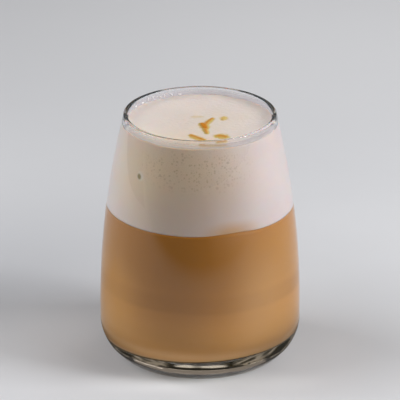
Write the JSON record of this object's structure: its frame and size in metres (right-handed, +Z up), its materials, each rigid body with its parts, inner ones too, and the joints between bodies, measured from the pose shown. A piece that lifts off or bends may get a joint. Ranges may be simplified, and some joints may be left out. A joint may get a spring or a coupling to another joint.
{
  "type": "latte in a glass tumbler",
  "caption": "Latte in a rounded clear glass tumbler: milky coffee below, a deep layer of milk foam with syrup marks above.",
  "frame": {"origin": "centre of the ring that the glass stands on", "axes": "+Z up along the glass, -Y towards the drinker, +X to the drinker's right"},
  "size_m": [0.0868, 0.0868, 0.11],
  "materials": {
    "clear_glass": "polished clear",
    "milky_coffee": "opaque brown liquid, smooth",
    "milk_foam": "soft fine foam"
  },
  "bodies": {
    "root": {"tumbler": "clear_glass", "coffee": "milky_coffee", "milk_foam": "milk_foam"}
  },
  "joints": []
}
